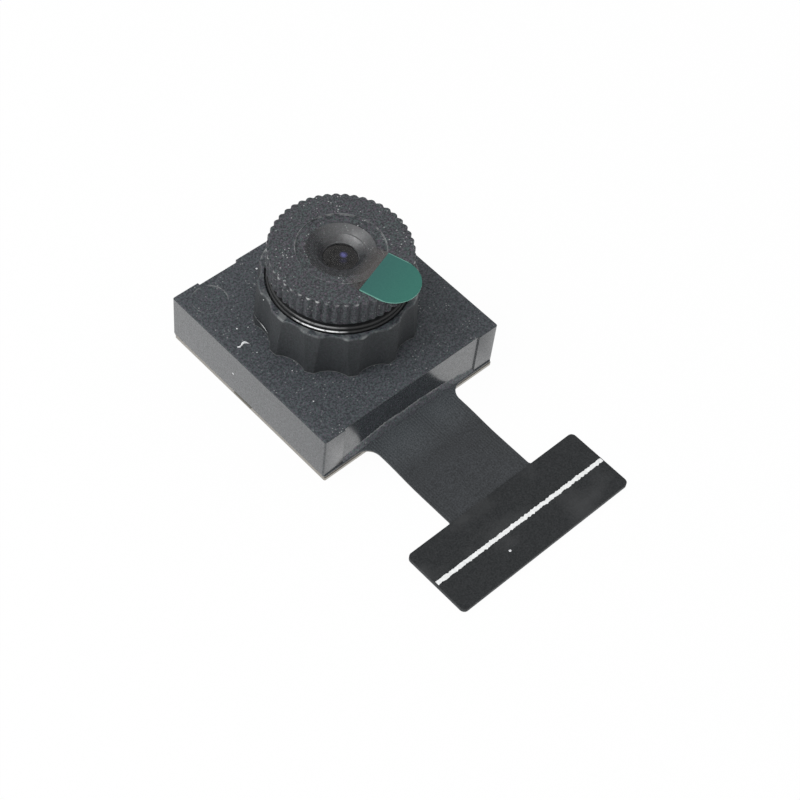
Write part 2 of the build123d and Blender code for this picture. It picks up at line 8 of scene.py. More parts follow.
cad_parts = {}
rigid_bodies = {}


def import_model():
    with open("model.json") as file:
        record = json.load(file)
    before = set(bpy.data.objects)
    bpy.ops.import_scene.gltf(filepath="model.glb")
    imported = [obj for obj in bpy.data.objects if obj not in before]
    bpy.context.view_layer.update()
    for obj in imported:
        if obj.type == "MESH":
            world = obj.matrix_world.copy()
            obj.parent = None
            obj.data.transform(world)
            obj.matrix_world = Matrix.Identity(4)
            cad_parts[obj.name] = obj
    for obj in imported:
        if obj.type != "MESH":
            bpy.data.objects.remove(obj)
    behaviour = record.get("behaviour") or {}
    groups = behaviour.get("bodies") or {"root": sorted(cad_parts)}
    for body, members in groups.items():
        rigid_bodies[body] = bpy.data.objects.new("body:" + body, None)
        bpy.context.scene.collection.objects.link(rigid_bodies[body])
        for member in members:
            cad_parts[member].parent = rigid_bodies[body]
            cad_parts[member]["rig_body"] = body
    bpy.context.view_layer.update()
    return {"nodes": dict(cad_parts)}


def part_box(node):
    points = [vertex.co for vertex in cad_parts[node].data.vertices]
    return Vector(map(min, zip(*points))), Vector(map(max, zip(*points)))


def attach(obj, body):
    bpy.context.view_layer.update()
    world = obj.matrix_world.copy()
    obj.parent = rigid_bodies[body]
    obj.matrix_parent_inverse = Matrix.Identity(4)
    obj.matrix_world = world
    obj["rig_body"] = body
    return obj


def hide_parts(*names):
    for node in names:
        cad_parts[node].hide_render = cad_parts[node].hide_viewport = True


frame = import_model()
nodes = frame["nodes"]
mm = 0.001

# The white table that the module lies on. It is a light box's paper: white to the eye and
# in every reflection, with a faint shadow where the module keeps the light off it.
table_reach = 400 * mm
table_gap = 0.01 * mm
white_share = 0.97


def finished(bm, name):
    """The object of a finished bmesh, linked into the scene."""
    mesh = bpy.data.meshes.new(name)
    bm.to_mesh(mesh)
    bm.free()
    piece = bpy.data.objects.new(name, mesh)
    bpy.context.scene.collection.objects.link(piece)
    return piece


def combined(tree, operation, first, second):
    """Two values, or a value and a number, added, multiplied or compared."""
    node = tree.nodes.new("ShaderNodeMath")
    node.operation = operation
    for socket, value in zip(node.inputs, (first, second)):
        if isinstance(value, (int, float)):
            socket.default_value = value
        else:
            tree.links.new(value, socket)
    return node.outputs[0]


table_bm = bmesh.new()
bmesh.ops.create_grid(table_bm, x_segments=1, y_segments=1, size=table_reach)
bmesh.ops.translate(table_bm, verts=table_bm.verts, vec=(0, 0, -table_gap))
table = finished(table_bm, "table")

paper = bpy.data.materials.new("white_paper")
paper.use_nodes = True
tree = paper.node_tree
tree.nodes.clear()
paper_out = tree.nodes.new("ShaderNodeOutputMaterial")
paper_mix = tree.nodes.new("ShaderNodeMixShader")
paper_lit = tree.nodes.new("ShaderNodeBsdfDiffuse")
paper_lit.inputs["Color"].default_value = (0.86, 0.86, 0.86, 1)
paper_white = tree.nodes.new("ShaderNodeEmission")
rays = tree.nodes.new("ShaderNodeLightPath").outputs
seen = combined(tree, "MAXIMUM", rays["Is Camera Ray"], rays["Is Glossy Ray"])
tree.links.new(combined(tree, "MULTIPLY", seen, white_share), paper_mix.inputs[0])
tree.links.new(paper_lit.outputs[0], paper_mix.inputs[1])
tree.links.new(paper_white.outputs[0], paper_mix.inputs[2])
tree.links.new(paper_mix.outputs[0], paper_out.inputs[0])
table.data.materials.append(paper)

# The studio: an even pale room, a large soft lamp over the module's left shoulder, a weaker
# one opposite and a small one in front, which puts the glints on the lens's front edges.
# Behind the module the room is plain white.
room = bpy.data.worlds.new("studio")
bpy.context.scene.world = room
room.use_nodes = True
tree = room.node_tree
tree.nodes.clear()
room_out = tree.nodes.new("ShaderNodeOutputWorld")
room_mix = tree.nodes.new("ShaderNodeMixShader")
room_light = tree.nodes.new("ShaderNodeBackground")
room_light.inputs["Color"].default_value = (1, 1, 1, 1)
room_light.inputs["Strength"].default_value = 0.64
room_white = tree.nodes.new("ShaderNodeBackground")
room_white.inputs["Color"].default_value = (1, 1, 1, 1)
rays = tree.nodes.new("ShaderNodeLightPath").outputs
room_seen = combined(tree, "MAXIMUM", rays["Is Camera Ray"], rays["Is Transmission Ray"])
tree.links.new(room_seen, room_mix.inputs[0])
tree.links.new(room_light.outputs[0], room_mix.inputs[1])
tree.links.new(room_white.outputs[0], room_mix.inputs[2])
tree.links.new(room_mix.outputs[0], room_out.inputs[0])

for name, place, size, power in (
    ("left_lamp", (-150, 70, 190), 170, 0.30),
    ("right_lamp", (150, -120, 150), 90, 0.03),
    ("front_lamp", (-160, -85, 190), 60, 0.065),
):
    lamp_data = bpy.data.lights.new(name, "AREA")
    lamp_data.shape = "DISK"
    lamp_data.size = size * mm
    lamp_data.energy = power
    lamp = bpy.data.objects.new(name, lamp_data)
    lamp.location = Vector(place) * mm
    lamp.rotation_euler = lamp.location.to_track_quat("Z", "Y").to_euler()
    bpy.context.scene.collection.objects.link(lamp)

# The camera of the photograph: some 10 cm away on a long lens, above the corner between
# the holder's -X and -Y sides, and a little tilted.
camera_data = bpy.data.cameras.new("photo_camera")
camera_data.sensor_width = 36
camera_data.lens = 80.31
camera_data.clip_start = 5 * mm
camera_data.clip_end = 5
camera = bpy.data.objects.new("photo_camera", camera_data)
camera.location = (-44.93 * mm, -44.33 * mm, 78.89 * mm)
camera.rotation_euler = (radians(37.037), radians(-4.804), radians(-42.840))
bpy.context.scene.collection.objects.link(camera)
bpy.context.scene.camera = camera
bpy.context.scene.view_settings.view_transform = "Standard"

# The steel plate that stiffens the back of the module, bonded under the flexible circuit.
# It is rolled sheet, blanked to size, so it has fine lines one way and bare cut edges.


def new_material(name, color, roughness, metallic=0.0):
    """A material with a Principled shader, and its tree, shader and object coordinates."""
    material = bpy.data.materials.new(name)
    material.use_nodes = True
    tree = material.node_tree
    shader = tree.nodes["Principled BSDF"]
    shader.inputs["Base Color"].default_value = (*color, 1)
    shader.inputs["Roughness"].default_value = roughness
    shader.inputs["Metallic"].default_value = metallic
    place = tree.nodes.new("ShaderNodeTexCoord")
    return material, tree, shader, place.outputs["Object"]


def noise_of(tree, coordinates, scale, detail):
    """Noise with so many patches for each millimetre, alike on all axes or one by one."""
    if not isinstance(scale, tuple):
        scale = (scale, scale, scale)
    mapping = tree.nodes.new("ShaderNodeMapping")
    mapping.inputs["Scale"].default_value = [s / mm for s in scale]
    tree.links.new(coordinates, mapping.inputs["Vector"])
    texture = tree.nodes.new("ShaderNodeTexNoise")
    texture.inputs["Scale"].default_value = 1
    texture.inputs["Detail"].default_value = detail
    tree.links.new(mapping.outputs["Vector"], texture.inputs["Vector"])
    return texture.outputs["Fac"]


def between(tree, value, low, high, out_low, out_high):
    """A value taken from one range to another, held at both ends."""
    remap = tree.nodes.new("ShaderNodeMapRange")
    for i, number in enumerate((low, high, out_low, out_high)):
        remap.inputs[i + 1].default_value = number
    tree.links.new(value, remap.inputs[0])
    return remap.outputs[0]


def blended(tree, factor, first, second):
    """A colour between two: each is a colour or the output of a node."""
    mix = tree.nodes.new("ShaderNodeMix")
    mix.data_type = "RGBA"
    tree.links.new(factor, mix.inputs[0])
    for socket, colour in ((mix.inputs[6], first), (mix.inputs[7], second)):
        if isinstance(colour, tuple):
            socket.default_value = (*colour, 1)
        else:
            tree.links.new(colour, socket)
    return mix.outputs[2]


def raised(tree, shader, height, depth):
    """Bump on a shader, its full depth given in millimetres."""
    bump = tree.nodes.new("ShaderNodeBump")
    bump.inputs["Strength"].default_value = 1
    bump.inputs["Distance"].default_value = depth * mm
    tree.links.new(height, bump.inputs["Height"])
    tree.links.new(bump.outputs[0], shader.inputs["Normal"])


def dress(piece, material):
    """Gives a piece one material in place of any that it has."""
    piece.data.materials.clear()
    piece.data.materials.append(material)


steel, tree, shader, place = new_material("rolled_steel", (0.36, 0.34, 0.31), 0.38, 1.0)
lines = noise_of(tree, place, (0.8, 30, 8), 3)
tree.links.new(
    blended(tree, lines, (0.30, 0.285, 0.255), (0.44, 0.42, 0.385)), shader.inputs["Base Color"]
)
tree.links.new(between(tree, lines, 0.3, 0.7, 0.28, 0.42), shader.inputs["Roughness"])
raised(tree, shader, lines, 0.002)
dress(nodes["rear_plate"], steel)

# The flexible circuit: copper conductors between two polyimide films, the upper one black. The
# conductors show faintly through it along the strip. Next to the holder the strip is painted
# paler, painted light that lifts the shade of the holder's wall. The punched edge shows the pale
# lower film, as the broken stub on the left side does.
conductor_pitch = 0.17
lifted_shade_from = -9.0
lifted_shade_to = -6.4
base_film_level = 0.265
pad_edge = -6.9
stub_end = -6.30


def axes_of(tree, coordinates):
    """The X, Y and Z of coordinates, in metres."""
    axes = tree.nodes.new("ShaderNodeSeparateXYZ")
    tree.links.new(coordinates, axes.inputs[0])
    return axes.outputs


coverlay, tree, shader, place = new_material("black_coverlay", (0.040, 0.043, 0.044), 0.46)
conductors = tree.nodes.new("ShaderNodeTexWave")
conductors.wave_type = "BANDS"
conductors.bands_direction = "X"
conductors.wave_profile = "SIN"
conductors.inputs["Scale"].default_value = 2 * pi / 20 / (conductor_pitch * mm)
conductors.inputs["Distortion"].default_value = 0
tree.links.new(place, conductors.inputs["Vector"])
grain = noise_of(tree, place, 14, 3)
patches = noise_of(tree, place, (0.45, 0.25, 0.3), 2)
relief = combined(
    tree, "MULTIPLY", conductors.outputs["Fac"], between(tree, patches, 0.35, 0.65, 0.15, 1.0)
)
rough_relief = combined(tree, "ADD", combined(tree, "MULTIPLY", grain, 0.35), relief)
raised(tree, shader, rough_relief, 0.012)
axes = axes_of(tree, place)
# Painted light: the strip is painted paler toward the holder, lifting the shade that the holder's wall
# and the glue bead put on it.
root = between(tree, axes["Y"], lifted_shade_from * mm, lifted_shade_to * mm, 0, 1)
shade = between(tree, grain, 0.32, 0.68, 0, 1)
dark_film = blended(tree, root, (0.018, 0.020, 0.022), (0.054, 0.062, 0.068))
pale_film = blended(tree, root, (0.051, 0.056, 0.062), (0.148, 0.164, 0.178))
film_shade = blended(tree, shade, dark_film, pale_film)
between_lines = between(tree, relief, 0, 1, 0, 0.45)
film_shade = blended(tree, between_lines, film_shade, (0.012, 0.014, 0.015))
cut_edge = combined(
    tree, "MULTIPLY",
    between(tree, axes["Z"], base_film_level * mm, (base_film_level + 0.015) * mm, 1, 0),
    between(tree, axes["Y"], pad_edge * mm, (pad_edge + 0.1) * mm, 0, 1),
)
film_shade = blended(tree, cut_edge, film_shade, (0.34, 0.32, 0.29))
torn_stub = between(tree, axes["X"], (stub_end - 0.01) * mm, stub_end * mm, 1, 0)
tree.links.new(
    blended(tree, torn_stub, film_shade, (0.15, 0.14, 0.115)), shader.inputs["Base Color"]
)
tree.links.new(between(tree, grain, 0.3, 0.7, 0.60, 0.48), shader.inputs["Roughness"])
shader.inputs["Specular IOR Level"].default_value = 0.4


def softened_copy(node, width):
    """A copy of a CAD node with merged faces and slightly rounded edges, in its place."""
    edge_angle = radians(35)
    bm = bmesh.new()
    bm.from_mesh(nodes[node].data)
    bmesh.ops.remove_doubles(bm, verts=bm.verts, dist=0.0005 * mm)
    bmesh.ops.dissolve_limit(
        bm, angle_limit=radians(1), verts=bm.verts, edges=bm.edges, delimit={"NORMAL"}
    )
    piece = finished(bm, node + "_softened")
    piece.data.shade_smooth()
    piece.data.set_sharp_from_angle(angle=edge_angle)
    bevel = piece.modifiers.new("rounded_edges", "BEVEL")
    bevel.width = width * mm
    bevel.segments = 2
    bevel.limit_method = "ANGLE"
    bevel.angle_limit = edge_angle
    bevel.harden_normals = True
    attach(piece, nodes[node]["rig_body"])
    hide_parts(node)
    return piece


flex = softened_copy("flex_circuit", 0.012)
dress(flex, coverlay)

# The stiffener on the tail: a thicker black sheet bonded on, so that the tail can be
# pushed into its connector. It is a little darker and duller than the strip.
stiff_sheet, tree, shader, place = new_material("stiffener_sheet", (0.020, 0.021, 0.022), 0.56)
shader.inputs["Specular IOR Level"].default_value = 0.3
grain = noise_of(tree, place, 12, 3)
smudges = noise_of(tree, place, (0.30, 0.45, 0.4), 3)
sheet_shade = blended(
    tree, between(tree, grain, 0.3, 0.7, 0, 1), (0.008, 0.010, 0.011), (0.028, 0.030, 0.032)
)
tree.links.new(
    blended(tree, between(tree, smudges, 0.50, 0.70, 0, 0.7), sheet_shade, (0.046, 0.048, 0.050)),
    shader.inputs["Base Color"],
)
raised(tree, shader, grain, 0.004)
stiffener = softened_copy("tail_stiffener", 0.015)
dress(stiffener, stiff_sheet)

# The white line printed across the tail, a mark for how far it goes into its connector. It is
# screen ink on the stiffener's face, so its edges are ragged.
line_low, line_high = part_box("tail_marking_line")
line_width = 0.24 * mm
line_slant = -0.5
line_bm = bmesh.new()
bmesh.ops.create_grid(line_bm, x_segments=400, y_segments=2, size=0.5)
line_length = (line_high.x - line_low.x) - 0.002 * mm
for vert in line_bm.verts:
    along, side = vert.co.x, vert.co.y * 2
    waves = 0.30 * noise.noise(Vector((along * 30, side * 3, 1)))
    teeth = 0.50 * noise.noise(Vector((along * 85, side * 3, 5)))
    ragged = 1 + (waves + teeth) * abs(side)
    vert.co = Vector((along * line_length, side * line_width / 2 * ragged, 0))
slanted = Matrix.Rotation(radians(line_slant), 3, "Z")
bmesh.ops.rotate(line_bm, verts=line_bm.verts, cent=(0, 0, 0), matrix=slanted)
line_middle = (line_low + line_high) / 2
bmesh.ops.translate(line_bm, verts=line_bm.verts, vec=(line_middle.x, line_middle.y, line_low.z))
bmesh.ops.recalc_face_normals(line_bm, faces=line_bm.faces)
printed_line = finished(line_bm, "printed_line")
thickness = printed_line.modifiers.new("ink_thickness", "SOLIDIFY")
thickness.thickness = line_high.z - line_low.z
thickness.offset = 1
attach(printed_line, "module")
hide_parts("tail_marking_line")

ink, tree, shader, place = new_material("white_ink", (0.84, 0.85, 0.85), 0.6)
mottle = noise_of(tree, place, 7, 2)
tree.links.new(
    blended(tree, between(tree, mottle, 0.35, 0.7, 0, 1), (0.90, 0.91, 0.91), (0.74, 0.75, 0.75)),
    shader.inputs["Base Color"],
)
raised(tree, shader, mottle, 0.005)
dress(printed_line, ink)

# The gold-plated contacts on the underside of the tail, etched from the flexible circuit's
# copper. They slide into the connector.
gold, tree, shader, place = new_material("contact_gold", (0.83, 0.60, 0.24), 0.25, 1.0)
plating = noise_of(tree, place, (20, 3, 8), 2)
tree.links.new(between(tree, plating, 0.3, 0.7, 0.18, 0.36), shader.inputs["Roughness"])
tree.links.new(
    blended(tree, plating, (0.78, 0.54, 0.20), (0.88, 0.66, 0.29)), shader.inputs["Base Color"]
)
dress(nodes["contact_fingers"], gold)

# Inside the closed holder: the sensor on its solder pads under a cover glass, and the
# chip capacitors that steady its supply.
silicon, tree, shader, place = new_material("sensor_package", (0.03, 0.035, 0.04), 0.3)
cells = noise_of(tree, place, 14, 1)
tree.links.new(
    blended(tree, cells, (0.024, 0.028, 0.034), (0.040, 0.044, 0.050)), shader.inputs["Base Color"]
)
dress(nodes["image_sensor"], silicon)

solder, tree, shader, place = new_material("solder", (0.62, 0.62, 0.63), 0.35, 1.0)
frost = noise_of(tree, place, 10, 2)
tree.links.new(between(tree, frost, 0.3, 0.7, 0.28, 0.5), shader.inputs["Roughness"])
dress(nodes["sensor_solder_pads"], solder)

cover, tree, shader, place = new_material("cover_glass", (0.95, 0.98, 0.97), 0.03)
shader.inputs["Transmission Weight"].default_value = 1.0
shader.inputs["IOR"].default_value = 1.52
haze = noise_of(tree, place, 1.5, 2)
tree.links.new(between(tree, haze, 0.4, 0.7, 0.02, 0.06), shader.inputs["Roughness"])
dress(nodes["sensor_cover_glass"], cover)

ceramic, tree, shader, place = new_material("capacitor_ceramic", (0.42, 0.31, 0.20), 0.5)
fleck = noise_of(tree, place, 16, 2)
tree.links.new(
    blended(tree, fleck, (0.34, 0.24, 0.15), (0.50, 0.38, 0.26)), shader.inputs["Base Color"]
)
raised(tree, shader, fleck, 0.004)
dress(nodes["chip_capacitors"], ceramic)

# The infrared filter glued under the holder's window, and the black glue that holds it
# and the holder itself.
filter_glass, tree, shader, place = new_material("filter_glass", (0.72, 0.93, 0.90), 0.02)
shader.inputs["Transmission Weight"].default_value = 1.0
shader.inputs["IOR"].default_value = 1.52
coating = noise_of(tree, place, 0.5, 1)
tree.links.new(
    blended(tree, coating, (0.70, 0.93, 0.90), (0.78, 0.90, 0.95)), shader.inputs["Base Color"]
)
dress(nodes["ir_cut_filter"], filter_glass)

glue, tree, shader, place = new_material("black_glue", (0.020, 0.022, 0.023), 0.34)
lumps = noise_of(tree, place, 5, 3)
tree.links.new(between(tree, lumps, 0.3, 0.7, 0.26, 0.5), shader.inputs["Roughness"])
tree.links.new(
    blended(tree, between(tree, lumps, 0.35, 0.7, 0, 1), (0.016, 0.018, 0.019), (0.034, 0.036, 0.037)),
    shader.inputs["Base Color"],
)
raised(tree, shader, lumps, 0.03)
dress(nodes["filter_adhesive"], glue)
dress(nodes["holder_adhesive"], glue)

# The lens holder: one black moulding, a square cover with a fluted turret for the lens. Its
# top and the turret come from a spark-eroded part of the mould and are matt and grainy; its
# upright sides come from a polished part and mirror the white table.


def moulded_grain_group():
    """Grain of a spark-eroded mould: a height, a shade, a tint and a mask of painted glints."""
    group = bpy.data.node_groups.new("moulded_grain", "ShaderNodeTree")
    group.interface.new_socket("Vector", in_out="INPUT", socket_type="NodeSocketVector")
    size = group.interface.new_socket("Size", in_out="INPUT", socket_type="NodeSocketFloat")
    size.default_value = 12000
    for output in ("Height", "Shade", "Tint", "Glint_specks"):
        group.interface.new_socket(output, in_out="OUTPUT", socket_type="NodeSocketFloat")
    start = group.nodes.new("NodeGroupInput")
    end = group.nodes.new("NodeGroupOutput")

    def scaled(share):
        return combined(group, "MULTIPLY", start.outputs["Size"], share)

    def grain(size_socket, detail):
        node = group.nodes.new("ShaderNodeTexNoise")
        node.inputs["Detail"].default_value = detail
        node.inputs["Roughness"].default_value = 0.6
        group.links.new(start.outputs["Vector"], node.inputs["Vector"])
        group.links.new(size_socket, node.inputs["Scale"])
        return node.outputs["Fac"]

    fine = grain(start.outputs["Size"], 2)
    coarse = grain(scaled(0.55), 1)
    tint = grain(scaled(0.8), 0)
    rare = grain(scaled(0.12), 1)
    pits = group.nodes.new("ShaderNodeTexVoronoi")
    group.links.new(start.outputs["Vector"], pits.inputs["Vector"])
    group.links.new(scaled(0.35), pits.inputs["Scale"])
    height = combined(group, "ADD", fine, coarse)
    group.links.new(height, end.inputs["Height"])
    group.links.new(between(group, height, 0.78, 1.22, 0, 1), end.inputs["Shade"])
    group.links.new(between(group, tint, 0.35, 0.65, 0, 1), end.inputs["Tint"])
    # Rare pale specks: painted glints of the grain.
    glint_specks = combined(
        group, "MULTIPLY", between(group, pits.outputs["Distance"], 0.10, 0.24, 1, 0),
        between(group, rare, 0.50, 0.60, 0, 1),
    )
    group.links.new(glint_specks, end.inputs["Glint_specks"])
    return group


moulded_grain = moulded_grain_group()


def grained(tree, coordinates, size):
    """The moulded grain at a number of grains for each millimetre."""
    node = tree.nodes.new("ShaderNodeGroup")
    node.node_tree = moulded_grain
    node.inputs["Size"].default_value = size / mm
    tree.links.new(coordinates, node.inputs["Vector"])
    return node.outputs


def radius_of(tree, coordinates):
    """Distance from the upright axis of the coordinates, in metres."""
    flat = tree.nodes.new("ShaderNodeVectorMath")
    flat.operation = "MULTIPLY"
    flat.inputs[1].default_value = (1, 1, 0)
    tree.links.new(coordinates, flat.inputs[0])
    length = tree.nodes.new("ShaderNodeVectorMath")
    length.operation = "LENGTH"
    tree.links.new(flat.outputs[0], length.inputs[0])
    return length.outputs["Value"]


def band(tree, value, low, high, soft):
    """A mask of a value between two limits in millimetres, with soft ends."""
    above = between(tree, value, (low - soft) * mm, low * mm, 0, 1)
    below = between(tree, value, high * mm, (high + soft) * mm, 1, 0)
    return combined(tree, "MULTIPLY", above, below)


def tinted(tree, grain, dark, pale, shift):
    """Grainy colour from dark to pale, drifting a little in hue from grain to grain."""
    cool = tuple(c * (1 + shift * s) for c, s in zip(pale, (-1, 1, 0.4)))
    warm = tuple(c * (1 + shift * s) for c, s in zip(pale, (1, -1, 0.6)))
    return blended(tree, grain["Shade"], dark, blended(tree, grain["Tint"], cool, warm))


block_top = 3.40
turret_top = 6.32
turret_foot = (4.05, 4.66)
pin_mark = (-4.83, 4.98)
pin_mark_radius = 0.99
recess_end = 4.95
recess_wall = -6.20

eroded, tree, shader, place = new_material("eroded_plastic", (0.045, 0.050, 0.054), 0.6)
grain = grained(tree, place, 14)
level = axes_of(tree, place)["Z"]
radius = radius_of(tree, place)
facing = axes_of(tree, tree.nodes["Texture Coordinate"].outputs["Normal"])
flat_up = between(tree, facing["Z"], 0.35, 0.8, 0, 1)
fillet = combined(
    tree, "MULTIPLY", band(tree, level, block_top + 0.004, block_top + 0.030, 0.004),
    band(tree, radius, *turret_foot, 0.02),
)
rim = band(tree, level, turret_top - 0.10, turret_top + 0.05, 0.02)
# The upright faces are painted darker than the faces that look up, lit and shaded copies of one
# plastic: painted shade on the turret's sides.
shaded_sides = tinted(tree, grain, (0.022, 0.025, 0.027), (0.036, 0.040, 0.043), 0.08)
top = tinted(tree, grain, (0.020, 0.025, 0.030), (0.078, 0.086, 0.092), 0.13)
plain = blended(tree, flat_up, shaded_sides, top)
# Pale specks on the faces that look up: painted glints of the grain.
painted_glints = combined(tree, "MULTIPLY", grain["Glint_specks"], flat_up)
mark = tree.nodes.new("ShaderNodeMapping")
mark.vector_type = "TEXTURE"
mark.inputs["Location"].default_value = (pin_mark[0] * mm, pin_mark[1] * mm, 0)
tree.links.new(place, mark.inputs["Vector"])
from_mark = radius_of(tree, mark.outputs["Vector"])
# Painted highlights: a pale patchy ring on the pin mark's rim, pale patches on the turret's top rim
# and a pale line along the turret's foot, where these edges catch the light.
highlight_breaks = between(tree, noise_of(tree, place, 1.6, 2), 0.42, 0.62, 0, 1)
ring = combined(
    tree, "MULTIPLY", band(tree, from_mark, pin_mark_radius - 0.015, pin_mark_radius + 0.03, 0.02),
    combined(tree, "MULTIPLY", highlight_breaks, band(tree, level, block_top - 0.06, block_top + 0.01, 0.01)),
)
rim_highlight = combined(tree, "MULTIPLY", rim, combined(tree, "MULTIPLY", highlight_breaks, highlight_breaks))
edges = combined(tree, "MAXIMUM", ring, combined(tree, "MAXIMUM", rim_highlight, fillet))
painted_highlights = blended(tree, combined(tree, "MULTIPLY", edges, 0.6), plain, (0.22, 0.23, 0.23))
tree.links.new(blended(tree, painted_glints, painted_highlights, (0.26, 0.27, 0.27)), shader.inputs["Base Color"])
smooth_places = combined(tree, "MAXIMUM", fillet, combined(tree, "MULTIPLY", rim, 0.4))
tree.links.new(between(tree, smooth_places, 0, 1, 0.66, 0.25), shader.inputs["Roughness"])
depth = combined(tree, "MULTIPLY", grain["Height"], between(tree, smooth_places, 0, 1, 1, 0.15))
raised(tree, shader, depth, 0.022)

polished, tree, shader, place = new_material("polished_plastic", (0.026, 0.029, 0.031), 0.22)
shader.inputs["Coat Roughness"].default_value = 0.18
grain = grained(tree, place, 14)
waves = noise_of(tree, place, (1.1, 1.1, 1.6), 2)
axes = axes_of(tree, place)
front_step = combined(
    tree, "MULTIPLY", band(tree, axes["X"], recess_end - 0.03, recess_end + 0.03, 0.005),
    between(tree, axes["Y"], (recess_wall - 0.01) * mm, (recess_wall + 0.01) * mm, 1, 0),
)
near_top = between(tree, axes["Z"], (block_top - 0.14) * mm, (block_top - 0.03) * mm, 0, 1)
chips = noise_of(tree, place, 5, 2)
ragged = between(tree, combined(tree, "ADD", near_top, chips), 1.15, 1.30, 0, 1)
walls = tinted(tree, grain, (0.016, 0.020, 0.023), (0.048, 0.053, 0.058), 0.14)
walls = blended(tree, ragged, walls, (0.050, 0.056, 0.060))
tree.links.new(blended(tree, front_step, walls, (0.13, 0.135, 0.14)), shader.inputs["Base Color"])
coat = between(tree, grain["Shade"], 0, 1, 0.50, 0.80)
dull = combined(tree, "MAXIMUM", front_step, ragged)
tree.links.new(
    combined(tree, "MULTIPLY", coat, combined(tree, "SUBTRACT", 1.0, dull)),
    shader.inputs["Coat Weight"],
)
rough = combined(
    tree, "ADD", between(tree, waves, 0.3, 0.7, 0.20, 0.30), combined(tree, "MULTIPLY", ragged, 0.35)
)
tree.links.new(rough, shader.inputs["Roughness"])
fine = combined(tree, "MULTIPLY", grain["Height"], 0.05)
raised(tree, shader, combined(tree, "ADD", fine, waves), 0.006)

holder = softened_copy("lens_holder", 0.03)
dress(holder, eroded)
holder.data.materials.append(polished)
for face in holder.data.polygons:
    if abs(face.normal.z) < 0.3 and face.center.z < (block_top - 0.04) * mm:
        face.material_index = 1

# The glue bead along the strip's root, pushed on by hand: a steep lumpy face against the
# holder, matt, with a torn top edge.
bead_low, bead_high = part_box("root_glue")
bead_foot = (bead_high.y - bead_low.y) * 0.85
bead_length = bead_high.x - bead_low.x
bead_lump = 0.03 * mm
bead_crest = (0.18, 0.63, 0.82, 1.0, 0.88, 0.94, 0.86, 0.76, 0.57, 0.20)
bead_bm = bmesh.new()
bmesh.ops.create_grid(bead_bm, x_segments=220, y_segments=12, size=0.5)
front_faces = bead_bm.faces[:]
for vert in bead_bm.verts:
    along, up = vert.co.x + 0.5, vert.co.y + 0.5
    step = min(along * (len(bead_crest) - 1), len(bead_crest) - 1.001)
    left, right = bead_crest[int(step)], bead_crest[int(step) + 1]
    share = left + (right - left) * (step % 1)
    waves = 0.09 * noise.noise(Vector((along * 60, 0, 3)))
    teeth = 0.10 * noise.noise(Vector((along * 150, 0, 9)))
    torn = 1 + waves + teeth
    lump = 0.5 + 0.5 * noise.noise(Vector((along * 26, up * 4, 6)))
    out = bead_foot * (1 - up * up) * (0.72 + 0.28 * lump) + bead_lump * lump * up * (1 - up) * 4
    height = (bead_high.z - bead_low.z) * min(share * torn, 1) * up
    vert.co = Vector((bead_low.x + along * bead_length, bead_high.y - out, bead_low.z + height))
back = bmesh.ops.extrude_face_region(bead_bm, geom=front_faces)
for vert in (v for v in back["geom"] if isinstance(v, bmesh.types.BMVert)):
    vert.co.y = bead_high.y
bmesh.ops.reverse_faces(bead_bm, faces=front_faces)
bmesh.ops.remove_doubles(bead_bm, verts=bead_bm.verts, dist=0.0002 * mm)
bmesh.ops.recalc_face_normals(bead_bm, faces=bead_bm.faces)
glue_bead = finished(bead_bm, "glue_bead")
glue_bead.data.shade_smooth()
glue_bead.data.set_sharp_from_angle(angle=radians(50))
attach(glue_bead, "module")
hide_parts("root_glue")

rough_glue, tree, shader, place = new_material("rough_glue", (0.060, 0.064, 0.068), 0.62)
grain = grained(tree, place, 12)
torn_edge = between(
    tree, axes_of(tree, place)["Y"], bead_high.y - 0.030 * mm, bead_high.y - 0.010 * mm, 0, 1
)
patches = between(tree, noise_of(tree, place, 2.2, 2), 0.40, 0.60, 0.2, 1)
edge_highlight = combined(tree, "MULTIPLY", torn_edge, patches)
# The glue is painted much paler than black glue: painted light that lifts the shade on the bead's
# steep face. The pale patches along its top edge are a painted highlight, and the pale specks painted
# glints.
plain = tinted(tree, grain, (0.060, 0.067, 0.072), (0.150, 0.160, 0.168), 0.14)
pale = combined(tree, "MAXIMUM", grain["Glint_specks"], edge_highlight)
tree.links.new(blended(tree, pale, plain, (0.26, 0.27, 0.27)), shader.inputs["Base Color"])
raised(tree, shader, grain["Height"], 0.03)
dress(glue_bead, rough_glue)

# The lens barrel: knurled head, collar, flange and shank, one moulding in black plastic,
# screwed into the turret. The head is grainy, and its tooth corners carry painted highlights.
# Its edges are rounded here, and the step in its mouth is a little deeper than in the CAD piece.
head_top = 8.62
tooth_corner_radius = 3.885
mouth_radius = 1.88
ledge_radii = (1.30, 1.37)
ledge_drop = 0.06
ledge_floor = 8.3
rings_floor = 8.2
mouth_floor = 7.7
step_radius = 2.45
near = 0.01

barrel_plastic, tree, shader, place = new_material("barrel_plastic", (0.040, 0.044, 0.047), 0.55)
grain = grained(tree, place, 15)
level = axes_of(tree, place)["Z"]
radius = radius_of(tree, place)
on_face = between(tree, level, (head_top - 0.12) * mm, (head_top - 0.10) * mm, 0, 1)
# Pale tooth corners, in patches: painted highlights where the chamfers catch the lamps.
tooth_corner_highlights = combined(
    tree, "MULTIPLY", band(tree, level, head_top - 0.11, head_top - 0.015, 0.01),
    between(tree, radius, tooth_corner_radius * mm, (tooth_corner_radius + 0.06) * mm, 0, 1),
)
uneven = between(tree, noise_of(tree, place, 2.6, 2), 0.40, 0.62, 0.1, 1)
tooth_corner_highlights = combined(tree, "MULTIPLY", tooth_corner_highlights, uneven)
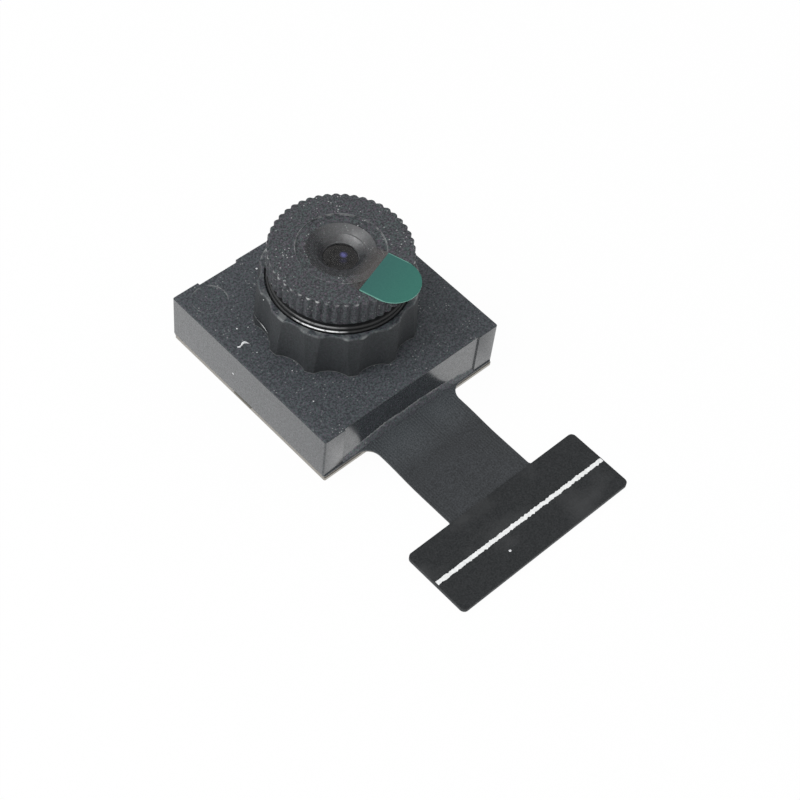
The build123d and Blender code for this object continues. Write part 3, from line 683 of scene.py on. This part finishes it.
# A dark patchy ring round the mouth's edge: painted shade where the mouth's rim shadows it.
mouth_edge_shade = combined(
    tree, "MULTIPLY", band(tree, radius, mouth_radius - 0.01, mouth_radius + 0.05, 0.015), uneven
)
# Pale patches along the face's step: a painted highlight on the step's edge.
step_edge_highlight = combined(
    tree, "MULTIPLY", band(tree, radius, step_radius - 0.02, step_radius + 0.03, 0.015),
    combined(tree, "MULTIPLY", on_face, uneven),
)
plain = tinted(tree, grain, (0.012, 0.015, 0.018), (0.078, 0.083, 0.087), 0.15)
plain = blended(tree, mouth_edge_shade, plain, (0.010, 0.011, 0.012))
# Pale specks on the head are painted glints of the grain.
bright = combined(tree, "MAXIMUM", combined(tree, "MULTIPLY", tooth_corner_highlights, 0.9), grain["Glint_specks"])
bright = combined(tree, "MAXIMUM", bright, combined(tree, "MULTIPLY", step_edge_highlight, 0.45))
tree.links.new(blended(tree, bright, plain, (0.42, 0.43, 0.43)), shader.inputs["Base Color"])
tree.links.new(between(tree, tooth_corner_highlights, 0, 1, 0.60, 0.40), shader.inputs["Roughness"])
raised(tree, shader, grain["Height"], 0.020)

# The mouth is a shallow cone from a polished pin of the mould. One side of it is still glossy
# and catches the lamp, and the other is rubbed dull.
glossy_side = 27
bore_radius = 0.98


def share_toward(tree, coordinates, radius, side):
    """How far a place round the optical axis lies toward a side, from 1 down to -1."""
    toward = tree.nodes.new("ShaderNodeVectorMath")
    toward.operation = "DOT_PRODUCT"
    toward.inputs[1].default_value = (cos(radians(side)), sin(radians(side)), 0)
    tree.links.new(coordinates, toward.inputs[0])
    return combined(tree, "DIVIDE", toward.outputs["Value"], radius)


mouth_plastic, tree, shader, place = new_material("mouth_plastic", (0.040, 0.042, 0.044), 0.40)
shader.inputs["Coat IOR"].default_value = 1.9
shader.inputs["Coat Roughness"].default_value = 0.40
grain = grained(tree, place, 15)
radius = radius_of(tree, place)
# The bore's wall is painted paler: painted light that lifts the shadow inside the bore.
bore_lift = between(tree, radius, (bore_radius - near) * mm, (bore_radius + near) * mm, 1, 0)
plain = tinted(tree, grain, (0.002, 0.003, 0.004), (0.030, 0.033, 0.036), 0.16)
# Pale specks in the mouth: painted glints of the grain.
plain = blended(tree, combined(tree, "MULTIPLY", grain["Glint_specks"], 0.5), plain, (0.30, 0.31, 0.31))
tree.links.new(blended(tree, bore_lift, plain, (0.070, 0.073, 0.077)), shader.inputs["Base Color"])
tree.links.new(between(tree, grain["Shade"], 0, 1, 0.56, 0.44), shader.inputs["Roughness"])
glossy = between(tree, share_toward(tree, place, radius, glossy_side), 0.1, 0.85, 0, 1)
tree.links.new(glossy, shader.inputs["Coat Weight"])
raised(tree, shader, grain["Height"], 0.012)

# The collar and the flange under the head carry damping grease, which shines on one side. On
# that side white streaks are painted along their edges, a painted highlight. The flange is wiped
# nearly dry.
highlight_side = 213
collar_floor = 6.14
collar_top = (6.35, 6.41)
collar_rim = (3.87, 3.94)
flange_floor = 6.51
flange_top = (6.575, 6.65)
flange_rim = (3.775, 3.84)
flange_ceiling = 6.68

greased, tree, shader, place = new_material("greased_plastic", (0.010, 0.011, 0.012), 0.14)
shader.inputs["IOR"].default_value = 1.55
shader.inputs["Coat Roughness"].default_value = 0.08
smears = noise_of(tree, place, 2.5, 3)
level = axes_of(tree, place)["Z"]
radius = radius_of(tree, place)
share = share_toward(tree, place, radius, highlight_side)
on_side = between(tree, share, 0.92, 0.98, 0, 1)
on_flange = between(tree, level, (flange_floor - near) * mm, (flange_floor + near) * mm, 0, 1)
drier = between(tree, on_flange, 0, 1, 0.26, 0)
wet = combined(tree, "SUBTRACT", combined(tree, "ADD", share, smears), drier)
wet = between(tree, wet, 1.15, 1.42, 0, 1)
wet = combined(tree, "MULTIPLY", wet, between(tree, on_flange, 0, 1, 1, 0.20))
tree.links.new(combined(tree, "MULTIPLY", wet, 0.8), shader.inputs["Coat Weight"])
tree.links.new(between(tree, wet, 0, 1, 0.60, 0.15), shader.inputs["Roughness"])
flange_edge = combined(
    tree, "MULTIPLY", band(tree, level, *flange_top, 0.01), band(tree, radius, *flange_rim, 0.01)
)
collar_edge = combined(
    tree, "MULTIPLY", band(tree, level, *collar_top, 0.01), band(tree, radius, *collar_rim, 0.01)
)
on_edges = combined(tree, "MAXIMUM", combined(tree, "MULTIPLY", flange_edge, 0.2), collar_edge)
streaks = between(tree, noise_of(tree, place, (4, 4, 9), 3), 0.36, 0.50, 0.35, 1)
# White streaks on the collar's edge, faint on the flange's, on the lamp's side: painted highlight.
painted_edge_highlight = combined(tree, "MULTIPLY", combined(tree, "MULTIPLY", on_side, on_edges), streaks)
dark_grease = blended(tree, smears, (0.006, 0.007, 0.008), (0.016, 0.017, 0.018))
tree.links.new(
    blended(tree, painted_edge_highlight, dark_grease, (0.92, 0.93, 0.94)), shader.inputs["Base Color"]
)
raised(tree, shader, smears, 0.02)

barrel = softened_copy("lens_barrel", 0.022)
for vertex in barrel.data.vertices:
    reach = vertex.co.xy.length / mm
    on_ledge = ledge_radii[0] - near < reach < ledge_radii[1] + near
    if on_ledge and vertex.co.z > ledge_floor * mm:
        vertex.co.z -= ledge_drop * mm
for edge in barrel.data.edges:
    ends = [barrel.data.vertices[i].co for i in edge.vertices]
    if min(end.z for end in ends) > rings_floor * mm:
        for ring in (*ledge_radii, mouth_radius):
            if all(abs(end.xy.length / mm - ring) < near for end in ends):
                edge.use_edge_sharp = True
dress(barrel, barrel_plastic)
barrel.data.materials.append(greased)
barrel.data.materials.append(mouth_plastic)
for face in barrel.data.polygons:
    reach = max(barrel.data.vertices[i].co.xy.length for i in face.vertices)
    if collar_floor * mm < face.center.z < flange_ceiling * mm:
        face.material_index = 1
    elif reach < (mouth_radius + near) * mm and face.center.z > mouth_floor * mm:
        face.material_index = 2
dress(nodes["lens_retainer"], barrel_plastic)

# The lens stack: four coated plastic lenses with a black stop and spacers between them. The
# glass is tinted nearly black, painted shade for the dark inside of the module, and a small
# violet patch on the front lens glows, a painted glint.
lens_glass, tree, shader, place = new_material("coated_lens", (0.05, 0.05, 0.07), 0.03)
shader.inputs["Transmission Weight"].default_value = 1.0
shader.inputs["IOR"].default_value = 1.53
tint_noise = noise_of(tree, place, 0.6, 1)
tree.links.new(
    blended(tree, tint_noise, (0.008, 0.009, 0.013), (0.013, 0.011, 0.016)), shader.inputs["Base Color"]
)
for name in ("second_lens", "third_lens", "rear_lens"):
    dress(nodes[name], lens_glass)

# The violet glint on the front lens is painted: emission in a small patch off the axis.
glint_place = 0.22
glint_radii = (0.07, 0.24)
front_glass, tree, shader, place = new_material("front_lens_glass", (0.05, 0.05, 0.07), 0.03)
shader.inputs["Transmission Weight"].default_value = 1.0
shader.inputs["IOR"].default_value = 1.53
shader.inputs["Emission Strength"].default_value = 1.0
centred = tree.nodes.new("ShaderNodeMapping")
centred.inputs["Location"].default_value = (-glint_place * mm, 0, 0)
tree.links.new(place, centred.inputs["Vector"])
from_glint = radius_of(tree, centred.outputs["Vector"])
patchy = noise_of(tree, place, 6, 2)
painted_glint = combined(
    tree, "MULTIPLY", between(tree, from_glint, glint_radii[0] * mm, glint_radii[1] * mm, 1, 0),
    between(tree, patchy, 0.35, 0.6, 0.55, 1),
)
tree.links.new(blended(tree, painted_glint, (0, 0, 0), (0.085, 0.085, 0.27)), shader.inputs["Emission Color"])
# The front lens is tinted nearly black too: painted shade.
tree.links.new(
    blended(tree, patchy, (0.008, 0.009, 0.013), (0.013, 0.011, 0.016)), shader.inputs["Base Color"]
)
aperture = 0.93 * mm
dome_top = 7.925 * mm
dome_edge = 7.895 * mm
rim_depth = 0.13 * mm
steps = 12
lens_low, lens_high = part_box("front_lens")
lens_radius = (lens_high.x - lens_low.x) / 2
rim_level = lens_high.z - rim_depth
dome_rise = dome_top - dome_edge
profile = [(0, lens_low.z), (lens_radius * 0.6, lens_low.z), (lens_radius, lens_low.z)]
profile += [(lens_radius, rim_level), (aperture, rim_level), (aperture, dome_edge)]
for i in range(steps - 1, -1, -1):
    share = i / steps
    profile.append((aperture * share, dome_edge + dome_rise * (1 - share * share)))
lens_bm = bmesh.new()
outline = [lens_bm.verts.new((x, 0, z)) for x, z in profile]
outline_edges = [lens_bm.edges.new(pair) for pair in zip(outline, outline[1:])]
bmesh.ops.spin(
    lens_bm, geom=outline + outline_edges, cent=(0, 0, 0), axis=(0, 0, 1), dvec=(0, 0, 0),
    angle=2 * pi, steps=96, use_merge=True,
)
bmesh.ops.remove_doubles(lens_bm, verts=lens_bm.verts, dist=0.0002 * mm)
bmesh.ops.recalc_face_normals(lens_bm, faces=lens_bm.faces)
domed_lens = finished(lens_bm, "domed_front_lens")
domed_lens.data.shade_smooth()
domed_lens.data.set_sharp_from_angle(angle=radians(30))
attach(domed_lens, nodes["front_lens"]["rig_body"])
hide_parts("front_lens")
dress(domed_lens, front_glass)

matt_black, tree, shader, place = new_material("matt_black", (0.012, 0.012, 0.013), 0.8)
dust = noise_of(tree, place, 12, 2)
tree.links.new(
    blended(tree, dust, (0.009, 0.009, 0.010), (0.016, 0.016, 0.017)), shader.inputs["Base Color"]
)
for name in ("aperture_stop", "front_spacer", "rear_spacer"):
    dress(nodes[name], matt_black)

# The protective film over the mouth: a clear film with a green tab to peel it off by. The
# film is seen only where adhesive clouds it, next to the tab.
film_tilt = 17.5
film_end = (0.57, -3.38)
film_half_width = 1.54
tab_start = 1.12
clouded_length = 0.95


def film_axes(tree, coordinates):
    """X across and Y along the film from the middle of the tab's round end, in metres."""
    turned_round = tree.nodes.new("ShaderNodeMapping")
    turned_round.vector_type = "TEXTURE"
    turned_round.inputs["Location"].default_value = (film_end[0] * mm, film_end[1] * mm, 0)
    turned_round.inputs["Rotation"].default_value = (0, 0, radians(film_tilt))
    tree.links.new(coordinates, turned_round.inputs["Vector"])
    return axes_of(tree, turned_round.outputs["Vector"])


film, tree, shader, place = new_material("clear_film", (0.16, 0.145, 0.135), 0.2)
smear = noise_of(tree, place, 1.2, 3)
tree.links.new(between(tree, smear, 0.4, 0.7, 0.14, 0.3), shader.inputs["Roughness"])
along = film_axes(tree, place)["Y"]
clouded = between(tree, along, tab_start * mm, (tab_start + clouded_length) * mm, 0.30, 0.012)
tree.links.new(clouded, shader.inputs["Alpha"])
dress(nodes["protective_film"], film)

green, tree, shader, place = new_material("green_film", (0.036, 0.140, 0.125), 0.5)
shader.inputs["Specular IOR Level"].default_value = 0.35
weave = noise_of(tree, place, 14, 2)
axes = film_axes(tree, place)
across = combined(tree, "ABSOLUTE", axes["X"], 0)
side_edge_highlight = between(
    tree, across, (film_half_width - 0.05) * mm, (film_half_width - 0.025) * mm, 0, 0.6
)
along = between(tree, axes["Y"], -1.2 * mm, 1.0 * mm, 1, 0)
body_green = blended(
    tree, weave,
    blended(tree, along, (0.018, 0.096, 0.084), (0.020, 0.124, 0.098)),
    blended(tree, along, (0.032, 0.136, 0.118), (0.034, 0.164, 0.130)),
)
# The tab's cut edges and a strip along its long sides are painted pale green: a painted highlight
# along the edges.
facing = axes_of(tree, tree.nodes["Texture Coordinate"].outputs["Normal"])
cut_edge = between(tree, combined(tree, "ABSOLUTE", facing["Z"], 0), 0.3, 0.7, 1, 0)
pale = combined(tree, "MAXIMUM", cut_edge, side_edge_highlight)
tree.links.new(blended(tree, pale, body_green, (0.20, 0.46, 0.38)), shader.inputs["Base Color"])
raised(tree, shader, weave, 0.003)
dress(nodes["film_pull_tab"], green)

# Lint and dust that lie on the module: one curled white fibre on the holder's top, and a
# few specks on the top, the turret's rim, the left wall and the tail. The larger white speck on
# the turret's rim is a painted highlight, not dust.
left_wall = -6.35
tail_top = 0.30
lint_and_highlight_bm = bmesh.new()


def strand(bm, points, widths):
    """A round strand through points, with a radius at each, in millimetres."""
    rings = []
    for place, width in zip(points, widths):
        ring = bmesh.ops.create_circle(bm, segments=8, radius=width * mm)["verts"]
        turn = Matrix.Rotation(radians(90), 3, "Y")
        bmesh.ops.rotate(bm, verts=ring, cent=(0, 0, 0), matrix=turn)
        bmesh.ops.translate(bm, verts=ring, vec=Vector(place) * mm)
        rings.append(ring)
    for first, second in zip(rings, rings[1:]):
        edges = {e for v in (*first, *second) for e in v.link_edges}
        ends = [e for e in edges if any(all(v in ring for v in e.verts) for ring in (first, second))]
        bmesh.ops.bridge_loops(bm, edges=ends)
    for ring in (rings[0], rings[-1]):
        bmesh.ops.contextual_create(bm, geom=ring)


fibre = [
    (-5.82, 1.44), (-5.73, 1.375), (-5.60, 1.385), (-5.46, 1.46), (-5.31, 1.455), (-5.23, 1.35),
    (-5.16, 1.24),
]
fibre_width = (0.036, 0.055, 0.040, 0.070, 0.080, 0.064, 0.036)
strand(lint_and_highlight_bm, [(x, y, block_top + 0.02) for x, y in fibre], fibre_width)
for x, y, z, size in (
    (-5.00, 2.46, block_top, 0.050), (-4.47, 2.16, block_top, 0.030), (-5.22, 0.51, block_top, 0.030),
    (-4.56, -1.62, block_top, 0.034), (-5.03, -3.88, block_top, 0.040),
    (left_wall, 1.145, 1.83, 0.062), (-1.86, -16.1, tail_top, 0.078),
    # A painted highlight on the turret's rim, made as a white speck, then a speck of dust.
    (-3.07, 3.18, turret_top, 0.055), (-4.20, 1.28, turret_top, 0.030),
):
    speck = bmesh.ops.create_icosphere(lint_and_highlight_bm, subdivisions=2, radius=size * mm)["verts"]
    for vert in speck:
        vert.co *= 1 + 0.35 * noise.noise(vert.co * 22000 + Vector((x, y, 0)))
    flattened = (0.11, 1, 1) if x == left_wall else (1, 1, 0.5)
    bmesh.ops.scale(lint_and_highlight_bm, vec=flattened, verts=speck)
    bmesh.ops.translate(lint_and_highlight_bm, verts=speck, vec=(x * mm, y * mm, z * mm))
bmesh.ops.recalc_face_normals(lint_and_highlight_bm, faces=lint_and_highlight_bm.faces)
lint_and_highlight = finished(lint_and_highlight_bm, "lint_and_highlight")
lint_and_highlight.data.shade_smooth()
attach(lint_and_highlight, "module")

white_of_lint_and_highlight, tree, shader, place = new_material("lint_and_highlight_white", (0.80, 0.81, 0.82), 0.8)
shade = noise_of(tree, place, 12, 2)
tree.links.new(
    blended(tree, between(tree, shade, 0.3, 0.7, 0, 1), (0.60, 0.62, 0.64), (0.92, 0.92, 0.93)),
    shader.inputs["Base Color"],
)
dress(lint_and_highlight, white_of_lint_and_highlight)

# A pale glossy strand across the foot of one of the turret's flutes: a painted highlight,
# standing in for the light that the flute's wall catches there.
glint_bm = bmesh.new()
glint_path = [
    (-4.03, 2.17, 4.10), (-4.08, 1.93, 4.06), (-4.07, 1.71, 3.98), (-4.06, 1.46, 3.90),
    (-4.10, 1.16, 3.87), (-4.21, 0.82, 3.92),
]
strand(glint_bm, glint_path, (0.015, 0.034, 0.044, 0.052, 0.042, 0.012))
bmesh.ops.recalc_face_normals(glint_bm, faces=glint_bm.faces)
glint_strand = finished(glint_bm, "glint_strand")
glint_strand.data.shade_smooth()
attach(glint_strand, "module")

glint_paint, tree, shader, place = new_material("painted_glint_strand", (0.16, 0.17, 0.17), 0.2)
shader.inputs["Coat Weight"].default_value = 1.0
glint_breaks = noise_of(tree, place, 5, 2)
tree.links.new(
    blended(tree, between(tree, glint_breaks, 0.35, 0.65, 0, 1), (0.12, 0.125, 0.13), (0.75, 0.76, 0.76)),
    shader.inputs["Base Color"],
)
dress(glint_strand, glint_paint)
